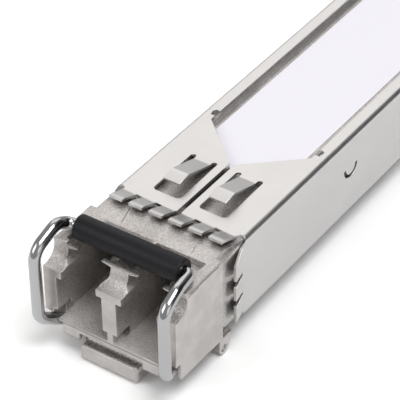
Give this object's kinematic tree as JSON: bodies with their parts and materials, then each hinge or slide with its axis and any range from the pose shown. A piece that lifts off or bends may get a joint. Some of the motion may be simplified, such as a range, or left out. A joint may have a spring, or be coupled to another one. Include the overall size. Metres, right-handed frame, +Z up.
{
  "type": "sfp transceiver",
  "caption": "Pluggable optical transceiver with two fibre ports, a folded sheet sleeve with spring fingers, a wire bail and a latch rocker.",
  "frame": {"origin": "on the port face, at mid width, level with the underside of the sheet sleeve", "axes": "+X across the module to its right, +Y from the port face towards the card edge, +Z up, away from the latch"},
  "size_m": [0.0142, 0.0583, 0.0122],
  "materials": {
    "cast_zinc": "nickel-plated die casting with a fine granular skin",
    "sleeve_steel": "satin nickel-plated sheet",
    "label_film": "blank satin film",
    "board_laminate": "green solder mask",
    "contact_gold": "hard gold plating",
    "chip_black": "moulded epoxy",
    "passive_ceramic": "fired ceramic",
    "pad_rubber": "soft filled silicone",
    "barrel_steel": "turned stainless steel",
    "split_ceramic": "polished zirconia",
    "can_gold": "gold-plated can",
    "flex_amber": "polyimide film",
    "clamp_plastic": "glass-filled nylon",
    "pin_steel": "drawn steel pin",
    "wire_steel": "polished stainless wire",
    "grip_plastic": "matte black tube"
  },
  "bodies": {
    "module": {"housing": "cast_zinc", "sleeve": "sleeve_steel", "label": "label_film", "circuit_board": "board_laminate", "edge_contacts": "contact_gold", "driver_chip": "chip_black", "amplifier_chip": "chip_black", "controller_chip": "chip_black", "memory_chip": "chip_black", "passives": "passive_ceramic", "heat_pad": "pad_rubber", "transmitter_barrel": "barrel_steel", "transmitter_split_sleeve": "split_ceramic", "transmitter_can": "can_gold", "transmitter_flex": "flex_amber", "receiver_barrel": "barrel_steel", "receiver_split_sleeve": "split_ceramic", "receiver_can": "can_gold", "receiver_flex": "flex_amber", "barrel_clamp": "clamp_plastic", "rocker_pin": "pin_steel"},
    "rocker": {"latch_rocker": "cast_zinc"},
    "bail": {"bail_wire": "wire_steel", "bail_grip": "grip_plastic"}
  },
  "joints": [
    {"name": "rocker_pivot", "type": "hinge", "parent": "module", "child": "rocker", "pos_m": [0, 0.00705, -0.0012], "axis": [1, 0, 0], "range_deg": [0, 5]},
    {"name": "bail_hinge", "type": "hinge", "parent": "rocker", "child": "bail", "pos_m": [0, 0.0015, 0.0002], "axis": [1, 0, 0], "range_deg": [0, 90]}
  ],
  "couplings": [
    {"joint": "bail_hinge", "follows": "rocker_pivot", "ratio": 17.99}
  ]
}
